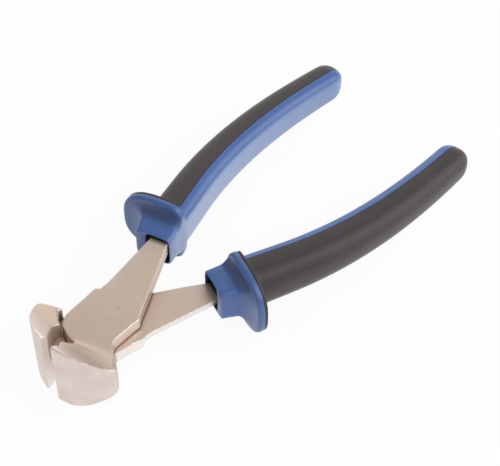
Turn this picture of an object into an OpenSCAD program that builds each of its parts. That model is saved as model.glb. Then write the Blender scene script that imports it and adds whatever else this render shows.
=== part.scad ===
// End cutting nippers: two identical lap-jointed levers on a flush rivet,
// each with a two-material grip (hard guarded sleeve, soft outer cover).
// Long axis X (jaws at -X), spread Y, rivet axis Z, origin on the rivet at the lower joint face.

/* [Joint] */
// thickness of one lapped lever
lap_t = 5; // [4.4:0.1:5.6]
// gap between the two lapped faces
lap_gap = 0.08; // [0.04:0.02:0.16]
// width of the joint plate across its straight sides
plate_w = 20.5; // [19.5:0.25:22]
// radius of the plate nose about the rivet
nose_r = 20; // [19:0.25:20.5]
// shank diameter of the rivet
rivet_d = 8; // [6:0.25:9]
// running clearance of the rivet in the lower lever, on the radius
rivet_fit = 0.04; // [0.02:0.01:0.08]
// full angle between the levers in the rest pose
opening = 8.6; // [4:0.2:14]

/* [Jaws] */
// distance from the rivet to the cutting edges
edge_x = 31.1; // [30:0.2:33]
// length of the cutting edges
edge_w = 29; // [27:0.5:31]
// radius of the rounded head in plan
head_r = 20.8; // [20:0.2:21.6]
// radius of the hollow flare from the plate up to the jaw
flare_r = 16; // [15:0.25:17]
// flat land behind each cutting edge
edge_land = 2.4; // [1.4:0.2:3]
// space left between the edges when closed
edge_gap = 0.3; // [0.2:0.05:0.6]

/* [Grips] */
// X of the handle ends in the closed pose
tip_x = 150; // [140:1:160]
// half spread of the handle ends in the closed pose
tip_y = 21.3; // [18:0.5:24]
// grip width behind the guard
grip_w = 16.2; // [15:0.1:18]
// grip width at the end
end_w = 12.5; // [12:0.1:14]
// grip thickness behind the guard
grip_t = 18; // [17:0.25:20]
// grip thickness at the end
end_t = 13.6; // [13:0.25:17]
// thickness of the soft cover
cover_t = 2; // [1.6:0.1:2.2]
// reach of the guard outward from the grip axis
guard_out = 17.8; // [16:0.2:22]
// height of the guard
guard_h = 30.2; // [26:0.2:36]
// X of the front of the guard in the closed pose
guard_x = 40.6; // [40:0.1:43]
// space between the tang and its pocket
tang_fit = 0.1; // [0.05:0.05:0.2]

/* [Hidden] */
$fn = 96;

steel = [0.76, 0.72, 0.67];
blue = [0.16, 0.29, 0.58];
black = [0.2, 0.19, 0.19];

// joint plate, closed pose: step behind the plate, outer side, jaw side
step_x = 2.2;
jaw_side_y = 8.5;
outer_y = plate_w - jaw_side_y;
outer_fall = 0.05;
step_h = 1.6;
nose_flat = 0.4;
front_x = nose_r - nose_flat;
nose_gap = 0.4;
over = 1;

// arm edges, closed pose
arm_bend_x = 7;
arm_y = outer_y - step_h;
arm_in_x = 1.3;
tang_x = 45;
tang_end_x = tip_x - 55;
tang_half = 2.8;
tang_mid = -0.6;

// jaw plan, closed pose
head_x = edge_x - head_r;
wall_d = nose_r + nose_gap;
rear_ang = 59;
flare_x = 13.5;
flare_ang = 40.6;
tip_flat = 1.4;
tip_fall = 0.6;
land_fall = 0.15;
wall_sum = wall_d * sqrt(2);
wall_y = outer_y;
neck_t = 2.65;
neck_x = wall_sum - wall_y - neck_t;
neck_y = outer_y + 0.1;
shoulder_run = 4.6;
shoulder_x = neck_x - shoulder_run;
shoulder = [0.4 * shoulder_run - neck_x, -jaw_side_y - 0.24 * shoulder_run];
notch_run = 5;
notch_x = front_x + notch_run;
notch_y = 2.7;
notch_deep = 4;
corner_run = 5.8;
corner_cut = 4;
corner_ang = 25;
corner = [-neck_x - corner_run * cos(rear_ang), -neck_y - corner_run * sin(rear_ang)];

// rivet heads, countersunk flush
head_d = rivet_d + 3;
head_h = 1.5;

// grip axis: straight from the mouth, then a cubic to the end
mouth_x = 31.9;
bend_x = 60;
bend_y = 21.3;
head_in = tan(14.2);
head_out = tan(-9.75);
bend_len = tip_x - bend_x;

// guard and nose
nose_out = 7.9;
nose_in = 8;
nose_h = 7.7;
nose_e = 4.6;
nose_len = 5.4;
rim_t = 1.4;
guard_in = 7.9;
guard_e = 2.5;
guard_in_e = 3;
grip_e = 2.5;
grip_in_e = 3.6;
back_t = 1.1;
back_fillet = 2;
back_reach = 0.985;
seat_gap = 0.06;
mouth_wall = 1.9;
mouth_in_wall = 1;
mouth_out_wall = 3.7;
mouth_deep = 5;
mouth_span = nose_in + nose_out - mouth_in_wall - mouth_out_wall;
cover_ang = 104.5;
cover_end_ang = 94.5;
lip_ang = 0.7;
step_ang = 1.2;
tip_r = 7.5;
guard_back_x = guard_x + rim_t;
ring_step = 6.5;

function cubic(t, p0, m0, p1, m1) =
    (2 * t * t * t - 3 * t * t + 1) * p0 + (t * t * t - 2 * t * t + t) * m0
    + (3 * t * t - 2 * t * t * t) * p1 + (t * t * t - t * t) * m1;
function cubic_rate(t, p0, m0, p1, m1) =
    (6 * t * t - 6 * t) * p0 + (3 * t * t - 4 * t + 1) * m0
    + (6 * t - 6 * t * t) * p1 + (3 * t * t - 2 * t) * m1;
function axis_t(x) = (x - bend_x) / bend_len;
function axis_y(x) = x < bend_x
    ? bend_y + (x - bend_x) * head_in
    : cubic(axis_t(x), bend_y, head_in * bend_len, tip_y, head_out * bend_len);
function axis_heading(x) = x < bend_x
    ? atan(head_in)
    : atan(cubic_rate(axis_t(x), bend_y, head_in * bend_len, tip_y, head_out * bend_len) / bend_len);

// point on the grip at x along its axis, n across and z up
function on_axis(x, n, z) =
    let (h = axis_heading(x))
    [x - n * sin(h), axis_y(x) + n * cos(h), z];

// rounded section: reach outward, reach inward, half height, squareness outward and inward
function section(s, a) =
    let (c = cos(a), v = sin(a), e = 2 / (c >= 0 ? s[3] : s[4]))
    [c >= 0 ? s[0] * pow(c, e) : -s[1] * pow(-c, e), sign(v) * s[2] * pow(abs(v), e)];
function ring(x, s, angles) = [for (a = angles) let (q = section(s, a)) on_axis(x, q[0], q[1])];

function mix(a, b, t) = a * (1 - t) + b * t;
function grip_half(x) = mix(grip_w, end_w, (x - guard_back_x) / (tip_x - guard_back_x)) / 2;
function grip_rise(x) = mix(grip_t, end_t, (x - guard_back_x) / (tip_x - guard_back_x)) / 2;
function tip_scale(x) = x < tip_x - tip_r ? 1 : sqrt(1 - pow((x - tip_x + tip_r) / tip_r, 2));
function grip_size(x) =
    let (k = tip_scale(x))
    [grip_half(x) * k, grip_half(x) * k, grip_rise(x) * k, grip_e, grip_in_e];
function core_size(x, gap) =
    let (k = tip_scale(x), half = (grip_half(x) - cover_t) * k + gap)
    [half, half, (grip_rise(x) - cover_t) * k + gap, grip_e, grip_in_e];
nose_size = [nose_out, nose_in, nose_h, nose_e, nose_e];
guard_size = [guard_out, guard_in, guard_h / 2, guard_e, guard_in_e];

// hollow rise from the nose to the rim, as a quarter round
rise = [0, 0.3, 0.55, 0.75, 0.9, 1];
function hollow(t) = 1 - sqrt(1 - t * t);
grip_x = concat([for (x = [guard_back_x + back_t + back_fillet + 2 : ring_step : tip_x - tip_r - 3]) x],
    [for (a = [0 : 14 : 70]) tip_x - tip_r + tip_r * sin(a)]);

// angle at which the cover meets the bare inner face of the sleeve
function cover_at(x) = mix(cover_ang, cover_end_ang, (x - guard_back_x) / (tip_x - guard_back_x));
function spread(half, steps) = [for (k = [0 : steps]) half * (2 * k / steps - 1)];
function cover_angles(x) = spread(cover_at(x), 20);
function core_angles(x) = spread(cover_at(x) + lip_ang, 20);
function bare_angles(x) = [for (a = spread(180 - cover_at(x) - lip_ang - step_ang, 14)) 180 + a];
function all_angles(x) = concat(core_angles(x), bare_angles(x));

front_angles = all_angles(guard_back_x);
sleeve_front = concat(
    [ring(mouth_x, nose_size, front_angles)],
    [for (t = rise)
        ring(mix(mouth_x + nose_len, guard_x, t), mix(nose_size, guard_size, hollow(t)), front_angles)],
    [ring(guard_back_x, guard_size, front_angles)]);
function sleeve_ring(x) = concat(
    ring(x, core_size(x, 0), core_angles(x)),
    ring(x, grip_size(x), bare_angles(x)));
sleeve_rings = concat(sleeve_front, [sleeve_ring(guard_back_x)], [for (x = grip_x) sleeve_ring(x)]);

// soft cover: thin backing on the guard, small fillet, then the grip
backing = mix(grip_size(guard_back_x), guard_size, back_reach);
cover_back_x = guard_back_x + seat_gap;
function cover_out(x) =
    let (t = (x - cover_back_x - back_t) / back_fillet)
    t <= 0 ? backing : mix(grip_size(x), backing, t < 1 ? hollow(1 - t) : 0);
cover_x = concat([cover_back_x, cover_back_x + back_t],
    [for (t = [0.1, 0.25, 0.5, 1]) cover_back_x + back_t + back_fillet * t], grip_x);
cover_rings = [for (x = cover_x) concat(ring(x, cover_out(x), cover_angles(x)),
    ring(x, core_size(x, seat_gap), -cover_angles(x)))];

// skin between rings of n points, as triangles
function skin(count, n) = [for (r = [0 : count - 2], i = [0 : n - 1])
    let (j = (i + 1) % n)
    each [[r * n + i, (r + 1) * n + i, r * n + j], [r * n + j, (r + 1) * n + i, (r + 1) * n + j]]];

module star_loft(rings) {
    n = len(rings[0]);
    count = len(rings);
    centres = [on_axis(mouth_x, 0, 0), on_axis(grip_x[len(grip_x) - 1], 0, 0)];
    points = concat([for (r = rings) each r], centres);
    first = [for (i = [0 : n - 1]) [i, (i + 1) % n, n * count]];
    last = [for (i = [0 : n - 1]) [n * (count - 1) + (i + 1) % n, n * (count - 1) + i, n * count + 1]];
    polyhedron(points, concat(skin(count, n), first, last), convexity = 8);
}

module band_loft(rings) {
    n = len(rings[0]);
    count = len(rings);
    points = [for (r = rings) each r];
    half = n / 2;
    top = n * (count - 1);
    first = [for (i = [0 : half - 2]) each [[i, i + 1, n - 1 - i], [i + 1, n - 2 - i, n - 1 - i]]];
    last = [for (i = [0 : half - 2]) each
        [[top + i, top + n - 1 - i, top + i + 1], [top + i + 1, top + n - 1 - i, top + n - 2 - i]]];
    polyhedron(points, concat(skin(count, n), first, last), convexity = 8);
}

// tang edges grown by a gap
function tang_edge(x, side, gap) =
    let (q = on_axis(x, tang_mid + side * (tang_half + gap), 0))
    [q[0], q[1]];
tang_steps = [for (k = [0 : 12]) mix(tang_x, tang_end_x, k / 12)];

module arm_plan(gap) {
    polygon(concat(
        [[arm_in_x, -jaw_side_y - gap]],
        [for (x = tang_steps) tang_edge(x, -1, gap)],
        [tang_edge(tang_end_x + gap, -1, gap), tang_edge(tang_end_x + gap, 1, gap)],
        [for (k = [12 : -1 : 0]) tang_edge(tang_steps[k], 1, gap)],
        [[arm_bend_x, arm_y + gap], [step_x, arm_y + gap], [0, 0]]));
}

module plate_plan() {
    intersection() {
        circle(r = nose_r);
        polygon([
            [step_x, outer_y - step_h],
            [step_x, outer_y],
            [-2 * nose_r, outer_y - outer_fall * (2 * nose_r)],
            [-2 * nose_r, 0],
            [-front_x, 0],
            [-front_x, -jaw_side_y],
            [arm_in_x, -jaw_side_y],
            [arm_bend_x, 0]
        ]);
    }
}

// neck from the plate out to the jaw
module neck_plan() {
    polygon([
        [-front_x, 0],
        [-notch_x, -notch_y],
        [-notch_x, -notch_y - notch_deep],
        [wall_y - wall_sum, -wall_y - over],
        [-neck_x, -neck_y],
        shoulder,
        [-shoulder_x, -jaw_side_y]
    ]);
}

// jaw outline: edge land, throat wall, back of the neck, cut corner, round outer face
module jaw_plan() {
    intersection() {
        translate([-head_x, 0]) circle(r = head_r);
        polygon([
            [-edge_x - over, -edge_gap / 2],
            [-edge_x + edge_land, -edge_gap / 2 - land_fall],
            [wall_y - wall_sum, -wall_y],
            [-neck_x, -neck_y],
            corner,
            corner - corner_cut * [cos(corner_ang), sin(corner_ang)],
            [-edge_x - over, -2 * head_r]
        ]);
    }
}

// side view of the jaw: half width grows along a hollow, then a straight run to the edge
module jaw_side() {
    for (side = [1, -1]) scale([1, side]) difference() {
        polygon([
            [0, 0],
            [0, lap_t],
            [-flare_x, lap_t],
            [-flare_x - flare_r * sin(flare_ang), lap_t + flare_r * (1 - cos(flare_ang))],
            [-edge_x + tip_flat, edge_w / 2 - tip_fall],
            [-edge_x, edge_w / 2],
            [-edge_x - over, edge_w / 2],
            [-edge_x - over, 0]
        ]);
        translate([-flare_x, lap_t + flare_r]) circle(r = flare_r);
    }
}

module rivet_shape(grow) {
    rotate_extrude() polygon([
        [0, -lap_t],
        [head_d / 2 + grow, -lap_t],
        [rivet_d / 2 + grow, -lap_t + head_h],
        [rivet_d / 2 + grow, lap_t - head_h],
        [head_d / 2 + grow, lap_t],
        [0, lap_t]
    ]);
}

module lever() {
    difference() {
        union() {
            translate([0, 0, lap_gap / 2]) linear_extrude(lap_t - lap_gap / 2) {
                plate_plan();
                arm_plan(0);
            }
            intersection() {
                union() {
                    translate([0, 0, -edge_w]) linear_extrude(2 * edge_w) jaw_plan();
                    translate([0, 0, lap_gap / 2]) linear_extrude(edge_w) neck_plan();
                }
                rotate([90, 0, 0]) translate([0, 0, -edge_x]) linear_extrude(2 * edge_x) jaw_side();
            }
        }
        children();
    }
}

// hollow of the nose around the arm
module mouth() {
    translate([mouth_x, axis_y(mouth_x), 0]) rotate([0, 0, atan(head_in)])
        translate([-over, mouth_in_wall - nose_in, mouth_wall - nose_h])
            cube([mouth_deep + over, mouth_span, 2 * (nose_h - mouth_wall)]);
}

module sleeve() {
    difference() {
        star_loft(sleeve_rings);
        translate([0, 0, lap_gap / 2 - tang_fit])
            linear_extrude(lap_t - lap_gap / 2 + 2 * tang_fit) arm_plan(tang_fit);
        mouth();
    }
}

// rest pose of each half: both turned open, B turned over, lower joint face on the origin
module half_a() {
    translate([0, 0, lap_t]) rotate([0, 0, opening / 2]) children();
}

module half_b() {
    translate([0, 0, lap_t]) rotate([180, 0, 0]) rotate([0, 0, opening / 2]) children();
}

module lever_a() {
    color(steel) half_a() lever() rivet_shape(0);
}

module lever_b() {
    color(steel) half_b() lever() rivet_shape(rivet_fit);
}

module pivot_rivet() {
    color(steel) half_a() rivet_shape(0);
}

module grip_sleeve_a() {
    color(blue) half_a() sleeve();
}

module grip_sleeve_b() {
    color(blue) half_b() sleeve();
}

module grip_cover_a() {
    color(black) half_a() band_loft(cover_rings);
}

module grip_cover_b() {
    color(black) half_b() band_loft(cover_rings);
}

lever_a();
lever_b();
pivot_rivet();
grip_sleeve_a();
grip_sleeve_b();
grip_cover_a();
grip_cover_b();
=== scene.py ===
import functools
import math

import bmesh
import bpy
import numpy as np
from mathutils import Matrix, Vector


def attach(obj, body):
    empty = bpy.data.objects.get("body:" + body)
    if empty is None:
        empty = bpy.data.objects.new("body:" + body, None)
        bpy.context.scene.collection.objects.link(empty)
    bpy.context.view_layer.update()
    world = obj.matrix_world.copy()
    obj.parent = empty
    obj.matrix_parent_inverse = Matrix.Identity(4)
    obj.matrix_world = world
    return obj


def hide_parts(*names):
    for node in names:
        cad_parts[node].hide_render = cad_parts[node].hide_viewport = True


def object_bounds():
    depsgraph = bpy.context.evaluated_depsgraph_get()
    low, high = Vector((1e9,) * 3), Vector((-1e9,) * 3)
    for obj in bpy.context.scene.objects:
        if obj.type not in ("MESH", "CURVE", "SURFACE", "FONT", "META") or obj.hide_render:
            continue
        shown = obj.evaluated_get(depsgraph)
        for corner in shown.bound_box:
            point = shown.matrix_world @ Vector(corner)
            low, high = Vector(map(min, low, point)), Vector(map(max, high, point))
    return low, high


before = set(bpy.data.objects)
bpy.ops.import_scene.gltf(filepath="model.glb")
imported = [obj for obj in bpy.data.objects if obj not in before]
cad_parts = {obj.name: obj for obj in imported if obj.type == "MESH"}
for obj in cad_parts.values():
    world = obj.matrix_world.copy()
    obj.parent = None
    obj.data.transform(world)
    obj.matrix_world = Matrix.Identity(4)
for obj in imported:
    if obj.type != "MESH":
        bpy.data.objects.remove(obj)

cad_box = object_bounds()

# End cutting nippers: two equal levers on a rivet, each with a hard sleeve and a soft cover on its handle.
# Sizes are in millimetres, in half A's closed pose with the lap plane at z = 0.
# Half B is half A turned over. A pair named _X, _Y or _Z is where a change starts and where it is full.
LAP = 5.0  # thickness of each joint plate
OPEN = math.radians(4.3)  # turn of each half from closed to rest
TURN = Matrix.Rotation(OPEN, 4, "Z")
FLIP = Matrix.Rotation(math.pi, 4, "X")
TO_FRAME = Matrix.Scale(0.001, 4) @ Matrix.Translation((0, 0, LAP))
PLACE = {"half_a": TO_FRAME @ TURN, "half_b": TO_FRAME @ FLIP @ TURN}

# Joint plate
PLATE_R = 20.0  # front of the plate, about the rivet
PLATE_Y = 12.55  # outer edge of the plate at its step
PLATE_SLOPE = 0.0474  # rise of that edge along the tool
PLATE_CORNER = 3.0
STEP_X = 2.2  # step between plate and arm
STEP_CORNER = 1.2
SIDE_END = (1.3, -8.7)  # end of the plate's straight inner side
LAP_GAP = 0.04  # room between a plate and the lap plane
BORE_R = 4.15
SINK_R = 5.55  # countersink at the plate's face
SINK_Z = 3.4  # level where the countersink ends

# Arm and tang
ARM_X = 7.0  # where the arm's outer edge starts to rise
ARM_Y = 12.75  # outer edge at the lap plane
ARM_SLOPE = 0.13
ARM_END = 46.0
ARM_FILLET = 0.8
DRAFT = 1.7  # lean of the outer wall from the lap plane to the face
TANG_X = 45.0  # where the arm's inner edge meets the tang
TANG_FROM = 44.0
TANG_TO = 95.0
TANG_MID = -0.73  # middle of the tang, from the grip's axis
TANG_HALF = 3.02

# Neck, seen from above
NECK = [(-17.5, 5.2), (-22.3, 3.8), (-28.0, -0.7), (-24.6, -6.7), (-16.85, -13),
        (-14.2, -12.1), (-9.0, -5.0)]
NECK_CORNER = 0.5
NECK_FILLET = 1.8

# Jaw, seen from above. A line is a point on it and the direction that it faces, in degrees.
THROAT = ((-28.7, -0.3), 45.36)
JAW_FACE = ((-32.1, -0.3), 87.48)
JAW_SHOULDER = ((-16.85, -12.0), 87.84)
JAW_REAR = ((-14.2, -12.1), -31.0)
JAW_END = ((-16.47, -18.61), -65.0)
JAW_FILLET = 0.6
REAR_CORNER = 1.0
END_CORNER = 3.5
HEAD_X = 10.3  # axis of the ground front, ahead of the rivet
HEAD_R = 21.1
FRONT_FROM = -15.0  # the ground front lies ahead of here
FRONT_ROUND = (0.25, 1.45)  # rounding of its edges, at the tip and at the outer end
FRONT_ROUND_X = (-22.5, -19.5)
SHELF_Y = 5.8  # inner edge of the shelf on the jaw's free half
SHELF_FILLET = 0.8
CLEAR = 0.8  # room between the shelf and the other plate

# Flare of the jaw along the rivet's axis: an arc, a straight run and a steeper lip at the cutting edge
FLARE_X = 13.5
FLARE_R = 16.0
FLARE_A = math.radians(40.6)
FLARE_LINE = ((-18.64, 1.34), 205.28)  # line where the flare rises out of the plate
FLARE_RUN = 5.0
EDGE_X = 31.1  # cutting edge, ahead of the rivet
EDGE_W = 29.0  # its length
LIP_X = 1.4 - EDGE_X
LIP_Z = EDGE_W / 2 - 0.6
LIP_SLOPE = 0.43
TOP_ROUND = (0.22, 2.02)  # rounding of the flare's edges, at the throat and at the outer end
TOP_ROUND_Y = (-11.5, -15.5)
FREE_ROUND = (0.35, 2.0)
FREE_ROUND_Y = (-10.5, -13.5)
BULGE = (-0.1, 1.0)  # extra height of the free half, at the edge and at the rear
BULGE_X = (-28.0, -20.0)
FREE_TOP = 1.0  # how far the free half reaches into the lever's own half

# Scoop between the plate's front and the cutting edge, and the trimmed edge of the flare
SCOOP_DEPTH = 4.6
SCOOP_ROOM = 1.0
SCOOP_REACH = 9.0
SCOOP_X = (-9.0, -14.0)
SCOOP_Y = (-1.5, 5.0)
SCOOP_CORNER = 1.2
SCOOP_RIM = 0.3
TRIM = 0.5
TRIM_X = -20.0
TRIM_Y = (-13.0, 0.0)
FAR_INSIDE = -20.0  # value of a field that cuts nothing

# Mesh of the lever
NET_LOW = (-33, -23, -16)
NET_HIGH = (97, 26, 16)
NET_STEP = 0.36

# Finish of the lever, including painted shade, painted reflections and painted highlights
FACING = (0.5, 0.8)  # part of a normal along an axis, where a face starts to count and counts fully
SHADE_AND_MARK_LEVELS = (0.58, 0.97)  # levels where painted shade and the rivet's marks start to show and where they are full
# Painted shade in crevices, fading out toward the jaws' tips and a little lighter in the throat
CREVICE_X = (-30, -26)
THROAT_X = (-12, -16)
THROAT_LIGHTER = 0.16
MOUTH_DARK = (0.4, 1.1)  # depth inside the sleeve's mouth over which the arm gets painted shade
MOUTH_ROOF = 0.9  # how much sooner the arm's face darkens there
MOUTH_NEAR = (-3, 0)  # depth of the stretch just outside it
MOUTH_SHADE = (0.56, 0.66)  # levels of painted shade along that stretch
# Painted shade along the lap seam, next to the other plate's edge
SEAM_GAP = (1.035, 0.135)  # distance from the other lever
SEAM_SHADE = 0.32
LAP_NEAR = 0.3  # height within which a face is on the lap plane
# Painted shade on the upward faces of the jaw's flare
FLARE_SHADE_X = (-31, -25)
FLARE_SHADE_Y = (1, -5)
FLARE_SHADE_Z = (5, 6.2)
FLARE_SHADE = 0.065
# Painted reflections on the outer walls, the inner side of the plate and the lands of the cutting edges
OUTER_FROM = -10  # outer wall painted with a reflection behind here
INNER_X = (-13, -11)
INNER_TO = 2.5  # inner side painted with a reflection up to here
INNER_BRIGHT = 0.45
LAND_AHEAD = -25  # the lands of the cutting edges lie ahead of here
LAND_OVER = -0.9  # and beyond here across the tool
LAND_FACING = 0.6
# Convex edges are lightened, partly as wear and partly as a painted highlight
WEAR_AND_HIGHLIGHT_X = (-14, -10)
# Paler tone of the ground head, with less of it on upward faces as painted shade
HEAD_TONE_X = (-24, -30)
HEAD_TOP_SHADE = 0.35
GROUND_NEAR = (0.6, 0.2)  # distance from the ground front
GROUND_TO = -14
# Rays that measure how closed in a point is, for the painted shade
RAY_TILT = math.radians(55)
RAYS_AROUND = 6
RAY_REACHES = (0.8, 2.0, 4.5)
RAY_OPEN = 0.45
LEVER_SHARP = 60

# Axis of the grip: straight to the bend, then one cubic to the tip
BEND_X = 60.0
BEND_Y = 21.3
TIP_X = 150.0
TIP_Y = 21.3
START_SLOPE = math.tan(math.radians(14.2))
END_SLOPE = math.tan(math.radians(-9.75))

# Grip along its axis
MOUTH_X = 31.6
HOLE_LEN = 9.0
HOLE_SHIFT = -2.3
NOSE_LEN = 5.2
NOSE_MID = 2.5
NOSE_MID_SHARE = 0.4  # how far its section has grown there
GUARD_X = 40.5
RIM = 2.5
BACK_X = GUARD_X + RIM
TIP_R = 7.5
WIDTH = (16.2, 12.5)  # behind the guard and at the tip
HEIGHT = (18.0, 13.6)
FOOT_LEN = 1.8  # fillet of the bare face at the guard
FOOT_SHARE = 0.3
FOOT_STATIONS = (0, 0.4, 1.0, 1.8, 2.8)
GUARD_STEPS = 16
FILLET_STEPS = 12
RIM_CUT = 0.3
FLANGE_CUT = 0.4

# Sections: outward reach, inward reach, half height, squareness outward and squareness inward
NOSE_TIP = np.array([6.7, 8.0, 6.8, 7.0, 6.0])
NOSE = np.array([7.7, 8.0, 7.25, 7.0, 6.0])
GUARD = np.array([17.5, 8.15, 13.5, 2.85, 3.8])
HOLE = np.array([4.8, 4.8, 6.1, 6.0, 6.0])
GRIP_SQUARE = (2.5, 3.6)
TIP_SQUARE = 2.2

# Finish of the sleeve: how much a painted reflection pales its inner face, and how much painted shade
# darkens it
NOSE_REFLECTION = 0.6
NOSE_MID_REFLECTION = 0.5
GUARD_REFLECTION = 0.7
TIP_REFLECTION = 0.45
# Painted shade in the hollow of the guard and a darker rim
GUARD_DARK = 0.66
GUARD_DARK_FULL = 0.7  # part of the guard's length
GUARD_DARK_END = (0.95, 1)
GUARD_DARK_LOSS = 0.7
RIM_DARK = 0.2
INNER_FACE = (0.9, 0.99)  # part of the inward reach

# Cover: thickness, and how far it reaches round the grip in degrees
COVER_T = 2.0
COVER_ARC = (104.5, 94.5)  # behind the guard and at the tip
COVER_LIP = 0.7
COVER_STEP = 1.2
COVER_HOOK = 12.0  # further round the guard
HOOK_LEN = 0.8
COVER_SEAT = 0.06
SEAT_END = 0.5  # the cover has no seat this close to the tip
FLANGE_T = 1.1
FLANGE_FILLET = 2.0
FLANGE_SHARE = 0.985
INNER_ARC = 0.999  # keeps the ends of the inner skin off the outer one's
CORE_SIDES = 96
BARE_SIDES = 70
COVER_SIDES = 140

# Stations along the grip, closer together round the tip
TIP_ANGLES = (8, 16, 24, 32, 40, 48, 56, 64, 71, 77, 82, 86, 89)
GRIP_STATIONS = 70
GRIP_START = BACK_X + 4.5
GRIP_X = list(np.linspace(GRIP_START, TIP_X - TIP_R, GRIP_STATIONS))
GRIP_X += [TIP_X - TIP_R + TIP_R * math.sin(math.radians(a)) for a in TIP_ANGLES]

# Rivet: radius and height over the plate's face
RIVET = [(0.0, -0.05), (0.5, -0.04), (0.9, 0.0), (1.4, 0.012), (4.6, 0.016), (5.4, 0.014), (5.75, 0.008),
         (5.8, 0.003), (5.4, -0.01), (4.0, -1.45), (4.0, -LAP)]
RIVET_SIDES = 96
RIVET_SHARP = 25
DOT_R = 0.8
DOT_GRIME = 0.65
RING_R = 5.6
RING_GRIME = 0.64

# View and stage, with places and lengths in metres
PHOTO_W = 500  # pixels
FOCAL_PX = 1390.5
SENSOR = 36  # millimetres
AZIMUTH = math.radians(-44.76)
ELEVATION = math.radians(47.99)
DISTANCE = 0.513
TARGET = Vector((0.06075, -0.00403, 0.005))
FLOOR_SIZE = 4.0
FLOOR_GAP = 0.0003
FLOOR_GLOW = 0.93
WORLD_LIGHT = 0.45
LAMP_AIM = (0.05, 0, 0)
LAMP_SIZE = 1.1
LAMPS = [  # name, place and power in watts
    ("key", (0.82, -0.77, 0.55), 7.0),
    ("fill", (0.82, 0.77, 0.55), 3.0),
    ("front", (0.05, -0.72, 0.96), 5.0),
]


# Plain helpers
def share(value, start, end):
    """0 at start, 1 at end, straight between them."""
    return np.clip((value - start) / (end - start), 0, 1)


def ease(value, start, end):
    """0 at start, 1 at end, slow at both."""
    t = share(value, start, end)
    return t * t * (3 - 2 * t)


def mix(a, b, t):
    return a + (b - a) * t


def hollow(t):
    """Quarter circle from 0 to 1, hollow side out."""
    return 1 - math.sqrt(1 - t * t)


def most(*fields):
    return functools.reduce(np.maximum, fields)


def round_max(a, b, r):
    """What two fields share, with its edge rounded by r."""
    u, v = np.maximum(a + r, 0), np.maximum(b + r, 0)
    return np.minimum(np.maximum(a, b), -r) + np.sqrt(u * u + v * v)


def round_min(a, b, r):
    """Two fields together, with a fillet of r."""
    return -round_max(-a, -b, r)


def side_of(x, y, p, q):
    """How far a place lies to the right of the line from p to q."""
    run_x, run_y = q[0] - p[0], q[1] - p[1]
    return ((x - p[0]) * run_y - (y - p[1]) * run_x) / math.hypot(run_x, run_y)


def past(x, y, line):
    """How far a place lies past a line, in the direction that the line faces."""
    (at_x, at_y), angle = line
    turn = math.radians(angle)
    return math.cos(turn) * (x - at_x) + math.sin(turn) * (y - at_y)


# Meshes
def new_mesh(name, points, faces, body, sharp=40, **layers):
    """Piece on a body, with edges over the sharp angle kept crisp and a value per point in each layer."""
    mesh = bpy.data.meshes.new(name)
    place = np.array(PLACE[body])
    in_frame = points @ place[:3, :3].T + place[:3, 3]
    mesh.from_pydata(in_frame.tolist(), [], [list(f) for f in faces])
    mesh.validate()
    bm = bmesh.new()
    bm.from_mesh(mesh)
    bmesh.ops.recalc_face_normals(bm, faces=bm.faces)
    limit = math.radians(sharp)
    for edge in bm.edges:
        edge.smooth = not edge.is_manifold or edge.calc_face_angle(0) < limit
    for face in bm.faces:
        face.smooth = True
    bm.to_mesh(mesh)
    bm.free()
    for key, values in layers.items():
        layer = mesh.attributes.new(key, "FLOAT", "POINT")
        layer.data.foreach_set("value", np.asarray(values, np.float32))
    piece = bpy.data.objects.new(name, mesh)
    bpy.context.scene.collection.objects.link(piece)
    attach(piece, body)
    return piece


def skin(rings, close=True):
    """Quads between rings of points. Closed ends are fans about a middle point."""
    n = len(rings[0])
    points = np.concatenate(rings)
    i = np.arange(n)
    j = (i + 1) % n
    starts = np.arange(len(rings) - 1) * n
    faces = [np.stack([r + i, r + j, r + n + j, r + n + i], 1) for r in starts]
    faces = np.concatenate(faces).tolist()
    if close:
        for row in (0, len(rings) - 1):
            faces += [[row * n + a, row * n + b, len(points)] for a, b in zip(i, j)]
            points = np.vstack([points, rings[row].mean(0)])
    return points, faces


# Axis of the grip, which the tang follows
def axis_y(x):
    run = TIP_X - BEND_X
    t = np.clip((x - BEND_X) / run, 0, None)
    bent = ((2 * t ** 3 - 3 * t ** 2 + 1) * BEND_Y + (t ** 3 - 2 * t ** 2 + t) * START_SLOPE * run
            + (3 * t ** 2 - 2 * t ** 3) * TIP_Y + (t ** 3 - t ** 2) * END_SLOPE * run)
    return np.where(x < BEND_X, BEND_Y + (x - BEND_X) * START_SLOPE, bent)


def heading(x):
    """Angle of the grip's axis."""
    run = TIP_X - BEND_X
    t = np.clip((x - BEND_X) / run, 0, None)
    rate = ((6 * t ** 2 - 6 * t) * BEND_Y + (3 * t ** 2 - 4 * t + 1) * START_SLOPE * run
            + (6 * t - 6 * t ** 2) * TIP_Y + (3 * t ** 2 - 2 * t) * END_SLOPE * run)
    return np.where(x < BEND_X, math.atan(START_SLOPE), np.arctan(rate / run))


# Lever, as a signed distance field
def arm_inside(x, y):
    """How far a place lies past the arm's inner edge, which runs from the plate's side to the tang."""
    n = TANG_MID - TANG_HALF
    turn = float(heading(TANG_X))
    meet = (TANG_X - n * math.sin(turn), float(axis_y(TANG_X)) + n * math.cos(turn))
    return side_of(x, y, SIDE_END, meet)


def arm_plan(x, y, z):
    outside = y - ARM_Y - ARM_SLOPE * np.maximum(x - ARM_X, 0) + DRAFT * share(z, 0, LAP)
    arm = most(arm_inside(x, y), outside, -x, x - ARM_END, SIDE_END[1] - y)
    across = (y - axis_y(x)) * np.cos(heading(x)) - TANG_MID
    tang = most(np.abs(across) - TANG_HALF, TANG_FROM - x, x - TANG_TO)
    return np.minimum(arm, tang)


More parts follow.
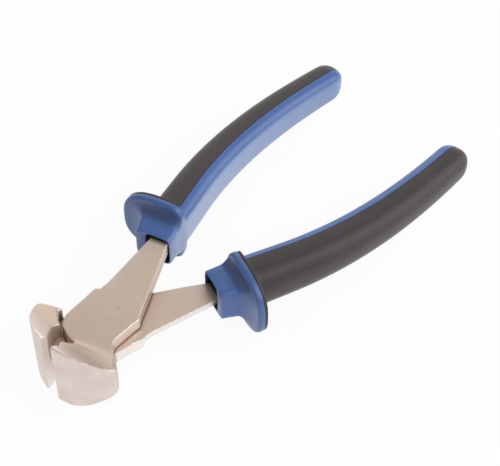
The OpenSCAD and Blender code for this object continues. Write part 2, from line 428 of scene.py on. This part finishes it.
def plate_plan(x, y):
    plate = np.hypot(x, y) - PLATE_R
    plate = round_max(plate, y - PLATE_Y - PLATE_SLOPE * (x - STEP_X), PLATE_CORNER)
    plate = round_max(plate, x - STEP_X, STEP_CORNER)
    return most(plate, SIDE_END[1] - y, arm_inside(x, y))


def neck_plan(x, y):
    neck = side_of(x, y, NECK[-1], NECK[0])
    for p, q in zip(NECK, NECK[1:]):
        neck = round_max(neck, side_of(x, y, p, q), NECK_CORNER)
    return neck


def jaw_plan(x, y, wall):
    """Jaw seen from above, with the given throat wall."""
    jaw = np.minimum(wall, past(x, y, JAW_SHOULDER))
    jaw = round_max(jaw, past(x, y, JAW_REAR), REAR_CORNER)
    return round_max(jaw, past(x, y, JAW_END), END_CORNER)


def lever_plan(x, y, z):
    """Lever's own half seen from above, at height z."""
    plan = round_min(plate_plan(x, y), arm_plan(x, y, z), ARM_FILLET)
    plan = round_min(plan, neck_plan(x, y), NECK_FILLET)
    jaw = np.maximum(jaw_plan(x, y, past(x, y, THROAT)), past(x, y, JAW_FACE))
    return round_min(plan, jaw, JAW_FILLET)


def flank(x):
    """Half width of the jaw along X, and the scale that turns height over it into distance."""
    reach = FLARE_R * math.sin(FLARE_A)
    arc_x = -FLARE_X - reach
    arc_z = LAP + FLARE_R * (1 - math.cos(FLARE_A))
    run = (LIP_Z - arc_z) / (arc_x - LIP_X)
    t = np.clip(-FLARE_X - x, 0, reach)
    drop = np.sqrt(FLARE_R ** 2 - t * t)
    height = np.where(x < arc_x, arc_z + run * (arc_x - np.maximum(x, LIP_X)), LAP + FLARE_R - drop)
    height = np.where(x < LIP_X, LIP_Z + LIP_SLOPE * (LIP_X - x), height)
    slope = np.where(x < LIP_X, LIP_SLOPE, np.where(x < arc_x, run, t / drop))
    return height, 1 / np.sqrt(1 + slope * slope)


def head_front(x, y):
    return np.hypot(x + HEAD_X, y) - HEAD_R


def grind(body, x, y):
    """Cuts a jaw by its ground front, with rounded edges."""
    front = np.where(x < FRONT_FROM, head_front(x, y), FAR_INSIDE)
    return round_max(body, front, mix(*FRONT_ROUND, ease(x, *FRONT_ROUND_X)))


def own_half(x, y, z):
    """Plate, arm, neck and half of the jaw, on the lever's own side of the lap plane."""
    height, lean = flank(x)
    level = mix(LAP, height, ease(past(x, y, FLARE_LINE), 0, FLARE_RUN))
    over = (z - level) * lean
    body = round_max(lever_plan(x, y, z), over, mix(*TOP_ROUND, ease(y, *TOP_ROUND_Y)))

    beyond = np.hypot(x, y) - PLATE_R
    deep = ease(y, *SCOOP_Y) * (1 - ease(beyond, 0, SCOOP_REACH)) * ease(x, *SCOOP_X)
    bottom = (level + SCOOP_ROOM - (SCOOP_DEPTH + SCOOP_ROOM) * deep - z) * lean
    body = round_max(body, -round_max(-beyond, bottom, SCOOP_CORNER), SCOOP_RIM)

    body = grind(body, x, y)
    bevel = (over + head_front(x, y) + TRIM * share(y, *TRIM_Y)) * math.sqrt(0.5)
    body = np.maximum(body, np.where(x < TRIM_X, bevel, FAR_INSIDE))
    return np.maximum(body, LAP_GAP - z)


def free_half(x, y, z):
    """Half of the jaw on the other lever's side of the lap plane, which runs up to the other plate."""
    height, lean = flank(x)
    shelf = np.maximum(y + SHELF_Y, PLATE_R + CLEAR - np.hypot(x, y))
    plan = jaw_plan(x, y, round_min(past(x, y, THROAT), shelf, SHELF_FILLET))
    over = (-z - height - mix(*BULGE, ease(x, *BULGE_X))) * lean
    body = round_max(plan, over, mix(*FREE_ROUND, ease(y, *FREE_ROUND_Y)))
    body = grind(np.maximum(body, past(x, y, JAW_FACE)), x, y)
    return np.maximum(body, z - FREE_TOP)


def lever_field(x, y, z):
    body = np.minimum(own_half(x, y, z), free_half(x, y, z))
    spread = np.hypot(x, y)
    sink = np.maximum((spread - SINK_R + LAP - z) * math.sqrt(0.5), SINK_Z - z)
    return np.maximum(body, -np.minimum(spread - BORE_R, sink))


# Surface of a field
def surface_net(field, low, high, step):
    """Quads of the zero surface of a field over a box."""
    axes = [np.arange(a, b, step, dtype=np.float32) for a, b in zip(low, high)]
    slices = [np.broadcast_arrays(x, axes[1][:, None], axes[2][None, :]) for x in axes[0]]
    value = np.stack([field(*places) for places in slices])
    inside = value < 0
    shape = np.array(value.shape)
    total = np.zeros(shape - 1, np.int8)
    offsets = np.array([(i, j, k) for i in (0, 1) for j in (0, 1) for k in (0, 1)])
    for i, j, k in offsets:
        total += inside[i:shape[0] - 1 + i, j:shape[1] - 1 + j, k:shape[2] - 1 + k]
    cells = np.argwhere((total > 0) & (total < len(offsets)))
    index = np.full(shape - 1, -1, np.int64)
    index[tuple(cells.T)] = np.arange(len(cells))

    # Each cell's point is the mean of the places where the surface crosses the cell's edges.
    corner = np.stack([value[tuple((cells + o).T)] for o in offsets], 1)
    sums = np.zeros((len(cells), 3))
    count = np.zeros(len(cells))
    for a, from_corner in enumerate(offsets):
        for b, to_corner in enumerate(offsets):
            if b < a or np.abs(to_corner - from_corner).sum() != 1:
                continue
            cross = (corner[:, a] < 0) != (corner[:, b] < 0)
            t = corner[cross, a] / (corner[cross, a] - corner[cross, b])
            sums[cross] += from_corner + (to_corner - from_corner) * t[:, None]
            count[cross] += 1
    points = np.array([a[0] for a in axes]) + (cells + sums / count[:, None]) * step

    # Each grid edge that crosses the surface gets a quad of the four cells about it.
    faces = []
    for axis in range(3):
        u, v = (axis + 1) % 3, (axis + 2) % 3
        first = [slice(None)] * 3
        second = [slice(None)] * 3
        first[axis] = slice(0, -1)
        second[axis] = slice(1, None)
        edges = np.argwhere(inside[tuple(first)] != inside[tuple(second)])
        aside = edges[:, [u, v]]
        edges = edges[((aside > 0) & (aside < shape[[u, v]] - 1)).all(1)]
        ring = []
        for du, dv in ((1, 1), (0, 1), (0, 0), (1, 0)):
            shift = np.zeros(3, int)
            shift[u] = du
            shift[v] = dv
            ring.append(index[tuple((edges - shift).T)])
        ring = np.stack(ring, 1)
        flip = inside[tuple(edges.T)]
        faces.append(np.where(flip[:, None], ring[:, ::-1], ring))
    return points, np.concatenate(faces)


def gradient(field, points, h=0.02):
    return np.stack([(field(*(points + d).T) - field(*(points - d).T)) / (2 * h) for d in np.eye(3) * h], 1)


def settle(field, points, rounds=2, least=0.2, longest=0.2):
    """Moves points onto the zero surface."""
    for _ in range(rounds):
        slope = gradient(field, points)
        size = np.maximum((slope ** 2).sum(1), least)
        points = points - slope * np.clip(field(*points.T) / size, -longest, longest)[:, None]
    return points


def normals(field, points, least=0.2):
    slope = gradient(field, points)
    return slope / np.maximum(np.linalg.norm(slope, axis=1), least)[:, None]


def edge_bend(field, points, wide=0.35, gain=0.9):
    """How sharply the surface turns outward at each point, from 0 to 1."""
    around = [field(*(points + d).T) + field(*(points - d).T) for d in np.eye(3) * wide]
    return np.clip((sum(around) - 6 * field(*points.T)) / wide * gain, 0, 1)


def crevice(field, other, points, normal):
    """How far each point is closed in by its own lever and the other one, from 0 to 1."""
    aside = np.cross(normal, np.where(np.abs(normal[:, :1]) < 0.7, [[1.0, 0, 0]], [[0, 1.0, 0]]))
    aside /= np.maximum(np.linalg.norm(aside, axis=1), 1e-6)[:, None]
    across = np.cross(normal, aside)
    rays = [normal]
    for turn in np.arange(RAYS_AROUND) * 2 * math.pi / RAYS_AROUND:
        sideways = math.cos(turn) * aside + math.sin(turn) * across
        rays.append(math.cos(RAY_TILT) * normal + math.sin(RAY_TILT) * sideways)
    clear = 0
    for ray in rays:
        room = 1
        for reach in RAY_REACHES:
            out = points + ray * reach
            free = np.minimum(field(*out.T), field(*(out @ other.T).T))
            room = np.minimum(room, np.clip(free / (RAY_OPEN * reach), 0, 1))
        clear = clear + room
    return 1 - clear / len(rays)


def lever_finish(points):
    """Finish at each point of a lever, from 0 to 1: edges lightened as wear and as a painted highlight,
    painted shade, the ground head's tone and painted reflections on the sides.
    """
    x, y, z = points.T
    turn = np.array(TURN)[:3, :3]
    to_other = turn.T @ np.array(FLIP)[:3, :3] @ turn
    facing = normals(lever_field, points)
    roofed = ease(facing[:, 2], *FACING)

    # Painted shade in crevices, in the sleeve's mouth and along the seam, and a little on the flare
    closed_in = crevice(lever_field, to_other, points, facing) * share(x, *CREVICE_X)
    closed_in *= 1 - THROAT_LIGHTER * ease(x, *THROAT_X)
    slant = math.atan(START_SLOPE)
    into_mouth = (x - MOUTH_X) * math.cos(slant) + (y - float(axis_y(MOUTH_X))) * math.sin(slant)
    in_mouth = share(into_mouth + MOUTH_ROOF * roofed, *MOUTH_DARK)
    near_mouth = mix(*MOUTH_SHADE, ease(into_mouth, *MOUTH_NEAR))
    gap = lever_field(*(points @ to_other.T).T)
    on_lap = (facing[:, 2] < -FACING[0]) * (np.abs(z) < LAP_NEAR)
    seam = SHADE_AND_MARK_LEVELS[0] + SEAM_SHADE * on_lap * share(gap, *SEAM_GAP)
    on_flare = roofed * ease(x, *FLARE_SHADE_X) * ease(y, *FLARE_SHADE_Y) * ease(z, *FLARE_SHADE_Z)
    flare_shade = SHADE_AND_MARK_LEVELS[0] + FLARE_SHADE * on_flare

    # Painted reflections: paler outer walls, inner side of the plate and lands of the cutting edges
    outer_side = ease(facing[:, 1], *FACING) * (x > OUTER_FROM)
    inner_side = INNER_BRIGHT * ease(-facing[:, 1], *FACING) * ease(x, *INNER_X) * (x < INNER_TO)
    land = 1.0 * (y > LAND_OVER) * (x < LAND_AHEAD) * (facing[:, 1] > LAND_FACING)

    ground = share(np.abs(head_front(x, y)), *GROUND_NEAR) * (x < GROUND_TO)
    return {
        "edge": edge_bend(lever_field, points) * ease(x, *WEAR_AND_HIGHLIGHT_X),
        "grime": np.max([closed_in, in_mouth, near_mouth, seam, flare_shade], axis=0),
        # Upward faces keep less of the head's paler tone, as painted shade
        "head": np.maximum(ground, share(x, *HEAD_TONE_X)) * (1 - HEAD_TOP_SHADE * roofed),
        "painted_reflection": np.max([outer_side, inner_side, land], axis=0),
    }


# Grips
def section(size, angle):
    """Places across the grip: outward and up."""
    c, s = np.cos(angle), np.sin(angle)
    power = np.where(c >= 0, 2 / size[3], 2 / size[4])
    n = np.where(c >= 0, size[0], -size[1]) * np.abs(c) ** power
    return n, np.sign(s) * size[2] * np.abs(s) ** power


def ring_at(x, size, angle, shift=0.0):
    n, z = section(size, angle)
    n = n + shift
    turn = heading(x)
    return np.stack([x - n * np.sin(turn), axis_y(x) + n * np.cos(turn), z], 1)


def inner_face(size, angle):
    """1 on the flat face toward the other handle, 0 elsewhere."""
    n, _ = section(size, angle)
    return ease(-n / size[1], *INNER_FACE)


def grow(size, d):
    return size + np.array([d, d, d, 0, 0])


def trimmed(size, d):
    """Smaller outward and in height, with the inner face kept."""
    return size - np.array([d, 0, d, 0, 0])


def along(x):
    """0 behind the guard, 1 at the tip."""
    return (x - BACK_X) / (TIP_X - BACK_X)


def tip_scale(x):
    return math.sqrt(1 - (max(x - TIP_X + TIP_R, 0) / TIP_R) ** 2)


def grip_size(x, inset=0.0):
    k = tip_scale(x)
    half = (mix(*WIDTH, along(x)) / 2 - inset) * k
    rise = (mix(*HEIGHT, along(x)) / 2 - inset) * k
    return np.array([half, half, rise, *[mix(TIP_SQUARE, square, k) for square in GRIP_SQUARE]])


def core_angles(x):
    """Angles of the part of the sleeve that the cover hides."""
    reach = mix(*COVER_ARC, along(x)) + COVER_LIP
    return np.radians(np.linspace(-reach, reach, CORE_SIDES + 1))


def bare_angles(x):
    """Angles of the part of the sleeve that shows."""
    reach = 180 - mix(*COVER_ARC, along(x)) - COVER_LIP - COVER_STEP
    return math.pi + np.radians(np.linspace(-reach, reach, BARE_SIDES + 1))


def sleeve(body):
    """Hard sleeve: mouth, square nose, flared guard with its rim, bare inner face and hidden core."""
    front = np.concatenate([core_angles(BACK_X), bare_angles(BACK_X)])
    up = np.sin(front) ** 2

    # A station is a place along the grip, a section, the painted reflection on its inner face and its
    # painted shade.
    # Inside the mouth the colour gets full painted shade
    hole = [(HOLE_LEN, 0, 1), (0.45, 0, 1), (0.15, 0.12, 0), (0, 0.35, 0)]
    stations = [(MOUTH_X + d, grow(HOLE, wider), 0, dark) for d, wider, dark in hole]
    rings = [ring_at(x, size, front, HOLE_SHIFT) for x, size, _, _ in stations]
    lip = [(0, 0.45), (0.16, 0.14), (0.5, 0)]
    outside = [(MOUTH_X + d, grow(NOSE_TIP, -cut), NOSE_REFLECTION, 0) for d, cut in lip]
    outside.append((MOUTH_X + NOSE_MID, mix(NOSE_TIP, NOSE, NOSE_MID_SHARE), NOSE_MID_REFLECTION, 0))
    # Painted shade in the hollow of the guard, strongest at its top and bottom
    for t in np.sin(np.linspace(0, math.pi / 2, GUARD_STEPS)):
        edge_cut = t ** 8
        size = trimmed(mix(NOSE, GUARD, hollow(t)), edge_cut)
        paler = 1 - GUARD_DARK_LOSS * ease(t, *GUARD_DARK_END)
        dark = GUARD_DARK * ease(t, 0, GUARD_DARK_FULL) * paler
        outside.append((mix(MOUTH_X + NOSE_LEN, GUARD_X, t), size, GUARD_REFLECTION, dark * up))
    # The rim's colour is darkened a little
    rim = [(0.12, 0.62), (0.35, 0.3), (0.7, 0.08), (1.1, 0)]
    rim += [(RIM - 0.3, 0), (RIM - 0.08, 0.08), (RIM, RIM_CUT)]
    outside += [(GUARD_X + d, trimmed(GUARD, cut), 1, RIM_DARK) for d, cut in rim]
    rings += [ring_at(x, size, front) for x, size, _, _ in outside]
    stations += outside
    rub = [paling * inner_face(size, front) for _, size, paling, _ in stations]
    deep = [dark + 0 * up for _, _, _, dark in stations]

    for x in [BACK_X + d for d in FOOT_STATIONS] + GRIP_X:
        foot = hollow(max(1 - (x - BACK_X) / FOOT_LEN, 0))
        bare = mix(grip_size(x), grow(GUARD, -RIM_CUT), FOOT_SHARE * foot)
        core = ring_at(x, grip_size(x, COVER_T), core_angles(x))
        rings.append(np.concatenate([core, ring_at(x, bare, bare_angles(x))]))
        face = mix(1, TIP_REFLECTION, along(x)) * inner_face(bare, bare_angles(x))
        rub.append(np.concatenate([np.zeros(len(core)), face]))
        deep.append(0 * up)
    points, faces = skin(rings)
    rub = np.concatenate(rub + [np.zeros(2)])
    # Painted shade fills the cap at the mouth's end
    deep = np.concatenate(deep + [np.array([1, 0])])
    piece = new_mesh("sleeve_" + body[-1], points, faces, body, rub=rub, deep=deep)
    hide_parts("grip_sleeve_" + body[-1])
    return piece


def cover(body):
    """Soft cover on the back of the grip, with a thin flange behind the guard."""
    start = BACK_X + COVER_SEAT
    flange_end = start + FLANGE_T
    flange = mix(grip_size(BACK_X), GUARD, FLANGE_SHARE)
    edges = [(0, 0.25), (0.08, 0.07), (0.3, 0)]
    edges += [(FLANGE_T - 0.4, 0), (FLANGE_T - 0.1, 0.12), (FLANGE_T, FLANGE_CUT)]
    stations = [(start + d, grow(flange, -cut)) for d, cut in edges]
    for t in 1 - np.cos(np.linspace(0, math.pi / 2, FILLET_STEPS)[1:]):
        x = flange_end + FLANGE_FILLET * t
        stations.append((x, mix(grip_size(x), grow(flange, -FLANGE_CUT), hollow(1 - t))))
    stations += [(x, grip_size(x)) for x in GRIP_X]
    rings = []
    for x, size in stations:
        hook = COVER_HOOK * share(x, flange_end + HOOK_LEN, flange_end)
        reach = np.radians(mix(*COVER_ARC, along(x)) + hook)
        angles = np.linspace(-reach, reach, COVER_SIDES + 1)
        seat = 0 if x > TIP_X - SEAT_END else COVER_SEAT
        inner = ring_at(x, grow(grip_size(x, COVER_T), seat), -angles * INNER_ARC)
        rings.append(np.concatenate([ring_at(x, size, angles), inner]))
    points, faces = skin(rings, close=False)
    n = len(rings[0])
    for start_point in (0, n * (len(rings) - 1)):
        for i in range(COVER_SIDES):
            quad = [i, i + 1, n - 2 - i, n - 1 - i]
            faces.append([start_point + corner for corner in quad])
    piece = new_mesh("cover_" + body[-1], points, faces, body)
    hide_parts("grip_cover_" + body[-1])
    return piece


def rivet():
    """Turned rivet with flush heads, a fine edge and a centre mark."""
    half = [(r, LAP + z) for r, z in RIVET]
    profile = half + [(r, -z) for r, z in half[-2::-1]]
    turn = np.linspace(0, 2 * math.pi, RIVET_SIDES + 1)[:-1]
    circle = np.stack([np.cos(turn), np.sin(turn)], 1)
    rings = [np.column_stack([r * circle, np.full(RIVET_SIDES, z)]) for r, z in profile[1:-1]]
    points, faces = skin(rings)
    points[-2:, 2] = profile[0][1], profile[-1][1]
    spread = np.hypot(points[:, 0], points[:, 1])
    marks = np.where(spread < DOT_R, DOT_GRIME, np.where(spread > RING_R, RING_GRIME, 0.0))
    piece = new_mesh("rivet", points, faces, "half_a", RIVET_SHARP, grime=marks)
    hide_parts("pivot_rivet")
    return piece


# Material helpers
def material(name):
    mat = bpy.data.materials.new(name)
    mat.use_nodes = True
    tree = mat.node_tree
    return mat, tree, tree.nodes["Principled BSDF"]


def node(tree, kind, **values):
    made = tree.nodes.new(kind)
    for key, value in values.items():
        setattr(made, key, value)
    return made


def set_inputs(made, values):
    for key, value in values.items():
        made.inputs[key].default_value = value


def noise(tree, scale, detail=4.0, rough=0.55, stretch=(1, 1, 1)):
    where = node(tree, "ShaderNodeTexCoord")
    spread = node(tree, "ShaderNodeMapping")
    set_inputs(spread, {"Scale": stretch})
    texture = node(tree, "ShaderNodeTexNoise")
    set_inputs(texture, {"Scale": scale, "Detail": detail, "Roughness": rough})
    tree.links.new(where.outputs["Object"], spread.inputs["Vector"])
    tree.links.new(spread.outputs["Vector"], texture.inputs["Vector"])
    return texture.outputs["Fac"]


def ramp(tree, source, stops):
    made = node(tree, "ShaderNodeValToRGB")
    bar = made.color_ramp
    while len(bar.elements) < len(stops):
        bar.elements.new(0.5)
    for spot, (at, colour) in zip(bar.elements, stops):
        spot.position = at
        spot.color = (*colour, 1)
    tree.links.new(source, made.inputs["Fac"])
    return made.outputs["Color"]


def scaled(tree, source, low, high, start=0.3, end=0.7):
    made = node(tree, "ShaderNodeMapRange")
    set_inputs(made, {"From Min": start, "From Max": end, "To Min": low, "To Max": high})
    tree.links.new(source, made.inputs["Value"])
    return made.outputs["Result"]


def blend_colour(tree, amount, base, top):
    """Mixes the base, a socket, toward the top, a socket or a colour."""
    made = node(tree, "ShaderNodeMix", data_type="RGBA")
    tree.links.new(amount, made.inputs[0])
    tree.links.new(base, made.inputs[6])
    if isinstance(top, tuple):
        made.inputs[7].default_value = (*top, 1)
    else:
        tree.links.new(top, made.inputs[7])
    return made.outputs[2]


def bumps(tree, shader, *layers):
    """Chains bump nodes: (height source, distance in metres, strength)."""
    last = None
    for source, distance, strength in layers:
        made = node(tree, "ShaderNodeBump")
        set_inputs(made, {"Distance": distance, "Strength": strength})
        tree.links.new(source, made.inputs["Height"])
        if last:
            tree.links.new(last, made.inputs["Normal"])
        last = made.outputs["Normal"]
    tree.links.new(last, shader.inputs["Normal"])


def layer_value(tree, name):
    return node(tree, "ShaderNodeAttribute", attribute_name=name).outputs["Fac"]


# Materials
def steel():
    """Satin steel with fine grain, a paler ground head, edges lightened as wear and as a painted highlight,
    painted reflections on the sides and painted shade in the crevices.
    """
    mat, tree, shader = material("satin_steel")
    patch = noise(tree, 55, 5)
    grain = noise(tree, 1900, 3)
    lines = noise(tree, 900, 2, 0.5, (0.07, 1, 1))
    satin = [(0.3, (0.64, 0.515, 0.43)), (0.55, (0.68, 0.55, 0.46)), (0.75, (0.72, 0.59, 0.495))]
    base = ramp(tree, patch, satin)
    mottle = ramp(tree, noise(tree, 140, 4), [(0.35, (0.77, 0.665, 0.61)), (0.65, (0.85, 0.74, 0.685))])
    # Paler ground head, held back on upward faces as painted shade
    base = blend_colour(tree, layer_value(tree, "head"), base, mottle)
    # Painted reflection on the outer walls, the inner side and the lands
    base = blend_colour(tree, layer_value(tree, "painted_reflection"), base, (0.95, 0.88, 0.83))
    # Convex edges lightened: wear, and a painted highlight
    paling = scaled(tree, layer_value(tree, "edge"), 0, 0.45, 0, 1)
    base = blend_colour(tree, paling, base, (0.86, 0.79, 0.73))
    # Painted shade in crevices, the sleeve's mouth and the seam, and the rivet's dark marks
    shade_and_marks_mix = scaled(tree, layer_value(tree, "grime"), 0, 0.9, *SHADE_AND_MARK_LEVELS)
    base = blend_colour(tree, shade_and_marks_mix, base, (0.075, 0.058, 0.047))
    tree.links.new(base, shader.inputs["Base Color"])
    tree.links.new(scaled(tree, grain, 0.42, 0.54), shader.inputs["Roughness"])
    set_inputs(shader, {"Metallic": 0.85})
    bumps(tree, shader, (grain, 0.00003, 0.3), (lines, 0.00003, 0.3))
    return mat


def hard_plastic():
    """Moulded blue plastic, paled on the inner face by a painted reflection and darkened by painted shade
    in the mouth and the hollow of the guard.
    """
    mat, tree, shader = material("blue_plastic")
    cloud = noise(tree, 90, 4)
    fine = noise(tree, 1500, 3)
    base = ramp(tree, cloud, [(0.3, (0.036, 0.105, 0.335)), (0.7, (0.048, 0.128, 0.375))])
    # Painted reflection: the inner face is paled toward light blue
    base = blend_colour(tree, layer_value(tree, "rub"), base, (0.31, 0.395, 0.60))
    # Painted shade in the mouth and the hollow of the guard, and a darker rim
    base = blend_colour(tree, layer_value(tree, "deep"), base, (0.005, 0.013, 0.045))
    tree.links.new(base, shader.inputs["Base Color"])
    tree.links.new(scaled(tree, fine, 0.34, 0.44), shader.inputs["Roughness"])
    set_inputs(shader, {"IOR": 1.7, "Sheen Weight": 0.5, "Sheen Roughness": 0.35})
    set_inputs(shader, {"Sheen Tint": (0.85, 0.92, 1.0, 1)})
    bumps(tree, shader, (fine, 0.00001, 0.15), (cloud, 0.00005, 0.1))
    return mat


def rubber():
    """Soft black cover with a fine moulded grain."""
    mat, tree, shader = material("black_rubber")
    cloud = noise(tree, 120, 5)
    fine = noise(tree, 2600, 4)
    base = ramp(tree, cloud, [(0.3, (0.032, 0.0245, 0.0225)), (0.7, (0.042, 0.032, 0.030))])
    tree.links.new(base, shader.inputs["Base Color"])
    tree.links.new(scaled(tree, fine, 0.44, 0.56), shader.inputs["Roughness"])
    set_inputs(shader, {"IOR": 1.5, "Sheen Weight": 0.3, "Sheen Roughness": 0.4})
    bumps(tree, shader, (fine, 0.00005, 0.35))
    return mat


def floor_white():
    """Pale floor that the camera and reflections see as near white, with the object's shadow on it."""
    mat, tree, shader = material("floor_white")
    set_inputs(shader, {"Base Color": (0.92, 0.92, 0.92, 1), "Roughness": 1.0, "Specular IOR Level": 0.0})
    path = node(tree, "ShaderNodeLightPath")
    seen = path.outputs["Is Camera Ray"]
    for ray in ("Is Glossy Ray", "Is Transmission Ray"):
        either = node(tree, "ShaderNodeMath", operation="MAXIMUM")
        tree.links.new(seen, either.inputs[0])
        tree.links.new(path.outputs[ray], either.inputs[1])
        seen = either.outputs[0]
    part = node(tree, "ShaderNodeMath", operation="MULTIPLY")
    set_inputs(part, {1: FLOOR_GLOW})
    tree.links.new(seen, part.inputs[0])
    glow = node(tree, "ShaderNodeEmission")
    joined = node(tree, "ShaderNodeMixShader")
    tree.links.new(part.outputs[0], joined.inputs[0])
    tree.links.new(shader.outputs[0], joined.inputs[1])
    tree.links.new(glow.outputs[0], joined.inputs[2])
    tree.links.new(joined.outputs[0], tree.nodes["Material Output"].inputs["Surface"])
    return mat


# Stage
def floor():
    z = cad_box[0][2] - FLOOR_GAP
    corners = [(x * FLOOR_SIZE, y * FLOOR_SIZE, z) for x, y in ((-1, -1), (1, -1), (1, 1), (-1, 1))]
    mesh = bpy.data.meshes.new("floor")
    mesh.from_pydata(corners, [], [(0, 1, 2, 3)])
    mesh.materials.append(floor_white())
    ground = bpy.data.objects.new("floor", mesh)
    bpy.context.scene.collection.objects.link(ground)


def studio():
    world = bpy.data.worlds.new("studio")
    world.use_nodes = True
    set_inputs(world.node_tree.nodes["Background"], {"Color": (1, 1, 1, 1), "Strength": WORLD_LIGHT})
    bpy.context.scene.world = world


def soft_lamp(name, spot, power):
    light = bpy.data.lights.new(name, "AREA")
    light.shape = "SQUARE"
    light.size = LAMP_SIZE
    light.energy = power
    lamp = bpy.data.objects.new(name, light)
    lamp.location = spot
    lamp.rotation_euler = (Vector(LAMP_AIM) - Vector(spot)).to_track_quat("-Z", "Y").to_euler()
    bpy.context.scene.collection.objects.link(lamp)


def photo_camera():
    """Camera at the photograph's angle."""
    flat = math.cos(ELEVATION)
    back = Vector((math.sin(AZIMUTH) * flat, -math.cos(AZIMUTH) * flat, math.sin(ELEVATION)))
    right = Vector((math.cos(AZIMUTH), math.sin(AZIMUTH), 0))
    turn = Matrix((right, back.cross(right), back)).transposed().to_4x4()
    eye = bpy.data.cameras.new("camera")
    eye.sensor_fit = "HORIZONTAL"
    eye.sensor_width = SENSOR
    eye.lens = FOCAL_PX / PHOTO_W * SENSOR
    camera = bpy.data.objects.new("camera", eye)
    camera.matrix_world = Matrix.Translation(TARGET + back * DISTANCE) @ turn
    bpy.context.scene.collection.objects.link(camera)
    return camera


# Build
lever_points, lever_faces = surface_net(lever_field, NET_LOW, NET_HIGH, NET_STEP)
lever_points = settle(lever_field, lever_points)
lever_layers = lever_finish(lever_points)
steel_look = steel()
blue_look = hard_plastic()
black_look = rubber()
for half in ("half_a", "half_b"):
    lever = new_mesh("lever_body_" + half[-1], lever_points, lever_faces, half, LEVER_SHARP, **lever_layers)
    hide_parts("lever_" + half[-1])
    lever.data.materials.append(steel_look)
    sleeve(half).data.materials.append(blue_look)
    cover(half).data.materials.append(black_look)
rivet().data.materials.append(steel_look)

floor()
studio()
for lamp in LAMPS:
    soft_lamp(*lamp)
bpy.context.scene.camera = photo_camera()
bpy.context.scene.view_settings.view_transform = "Standard"
